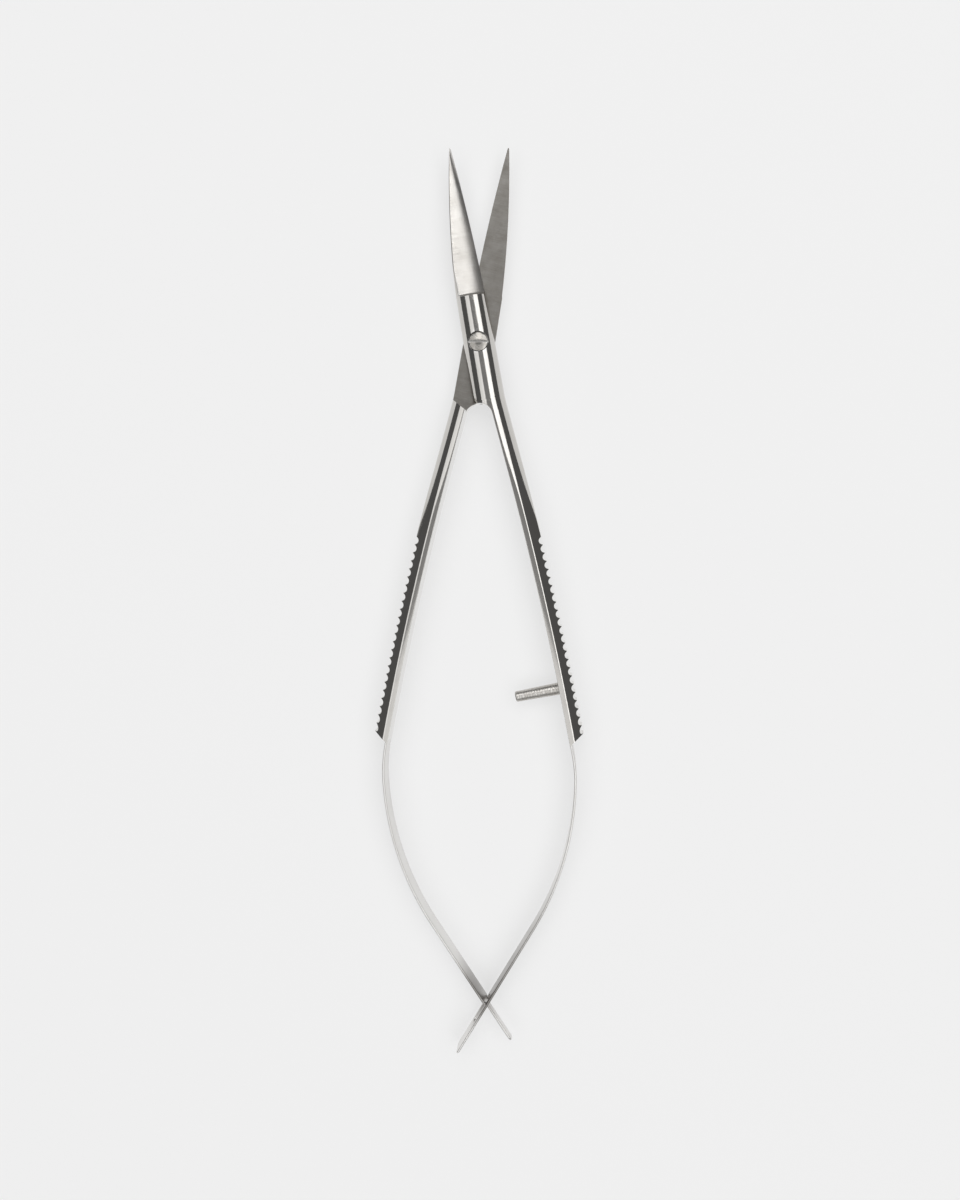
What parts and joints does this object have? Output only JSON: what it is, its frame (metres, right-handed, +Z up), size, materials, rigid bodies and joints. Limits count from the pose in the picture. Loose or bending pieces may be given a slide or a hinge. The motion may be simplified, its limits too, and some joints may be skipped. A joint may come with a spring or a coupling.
{
  "type": "cuticle scissors",
  "caption": "Squeeze-handle cuticle scissors: straight fine blades on a lapped screw pivot, serrated half-round handles, stop pin and crossed leaf springs.",
  "frame": {"origin": "middle of the tool's length and width, at the lowest round of the rear arm", "axes": "+Y towards the blade tips, +X to the right with the screw head up, +Z up through the screw from the rear arm to the front arm"},
  "size_m": [0.0264, 0.1153, 0.0042],
  "materials": {
    "arm_steel": "polished round backs, fine cross-ground blades, matte inner flats",
    "screw_steel": "ground flush with the arm",
    "pin_steel": "turned, dull",
    "spring_steel": "polished strip"
  },
  "bodies": {
    "rear_arm": {"rear_arm": "arm_steel", "pivot_screw": "screw_steel"},
    "front_arm": {"front_arm": "arm_steel", "stop_pin": "pin_steel"},
    "slotted_spring": {"slotted_spring": "spring_steel"},
    "tongue_spring": {"tongue_spring": "spring_steel"}
  },
  "joints": [
    {"name": "blade_pivot", "type": "hinge", "parent": "rear_arm", "child": "front_arm", "pos_m": [0, 0.03275, 0.0021], "axis": [0, 0, -1], "range_deg": [0, 18.7], "stiffness_Nm_per_rad": 0.4},
    {"name": "slotted_spring_flex", "type": "hinge", "parent": "front_arm", "child": "slotted_spring", "pos_m": [0.01183, -0.01879, 0.0021], "axis": [0, 0, 1], "range_deg": [0, 26]},
    {"name": "tongue_spring_flex", "type": "hinge", "parent": "rear_arm", "child": "tongue_spring", "pos_m": [-0.01183, -0.01879, 0.0021], "axis": [0, 0, -1], "range_deg": [0, 26]}
  ],
  "couplings": [
    {"joint": "slotted_spring_flex", "follows": "blade_pivot", "ratio": 1.285},
    {"joint": "tongue_spring_flex", "follows": "blade_pivot", "ratio": 1.285}
  ]
}
